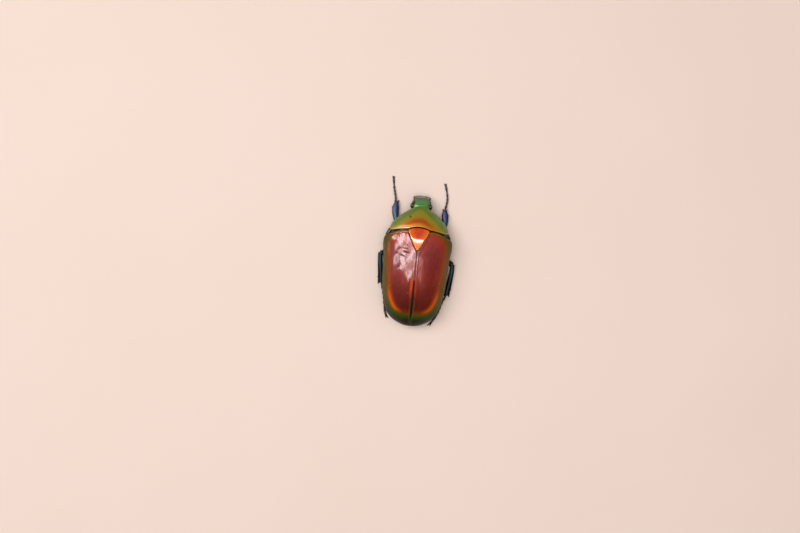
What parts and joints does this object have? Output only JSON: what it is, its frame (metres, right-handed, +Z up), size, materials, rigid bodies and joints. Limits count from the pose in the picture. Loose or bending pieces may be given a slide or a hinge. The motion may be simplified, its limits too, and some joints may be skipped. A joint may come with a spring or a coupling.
{
  "type": "flower beetle",
  "caption": "Still life-size model of a dried flower beetle lying on its belly, wing cases closed, fore legs stretched forward.",
  "frame": {"origin": "middle of the flat of the belly, on the surface that the beetle rests on", "axes": "+Y towards the head, +X towards the beetle's right side, +Z up out of its back"},
  "size_m": [0.0191, 0.0364, 0.0109],
  "materials": {
    "wing_case": "polished iridescent cuticle, deep red turning orange and green towards the margins",
    "pronotum": "polished iridescent cuticle, olive green with an orange brown hind middle",
    "scutellum": "polished iridescent cuticle, orange red with a golden rim",
    "head": "punctured metallic green cuticle with a purple brown rim",
    "underside": "dark metallic green cuticle",
    "thigh": "dark teal cuticle",
    "shin": "dark indigo cuticle with punctures",
    "foot": "brown black cuticle",
    "feeler": "dull dark brown cuticle",
    "eye": "finely faceted dark brown"
  },
  "bodies": {
    "root": {"wing_case_left": "wing_case", "wing_case_right": "wing_case", "pronotum": "pronotum", "scutellum": "scutellum", "prothorax": "underside", "thorax": "underside", "abdomen": "underside", "pygidium": "underside", "mesepimeron_left": "underside", "mesepimeron_right": "underside", "head": "head", "eye_left": "eye", "eye_right": "eye", "antenna_left": "feeler", "antenna_right": "feeler", "fore_left_femur": "thigh", "fore_left_tibia": "shin", "fore_left_tarsus": "foot", "fore_right_femur": "thigh", "fore_right_tibia": "shin", "fore_right_tarsus": "foot", "mid_left_femur": "thigh", "mid_left_tibia": "shin", "mid_left_tarsus": "foot", "mid_right_femur": "thigh", "mid_right_tibia": "shin", "mid_right_tarsus": "foot", "hind_left_femur": "thigh", "hind_left_tibia": "shin", "hind_left_tarsus": "foot", "hind_right_femur": "thigh", "hind_right_tibia": "shin", "hind_right_tarsus": "foot"}
  },
  "joints": []
}
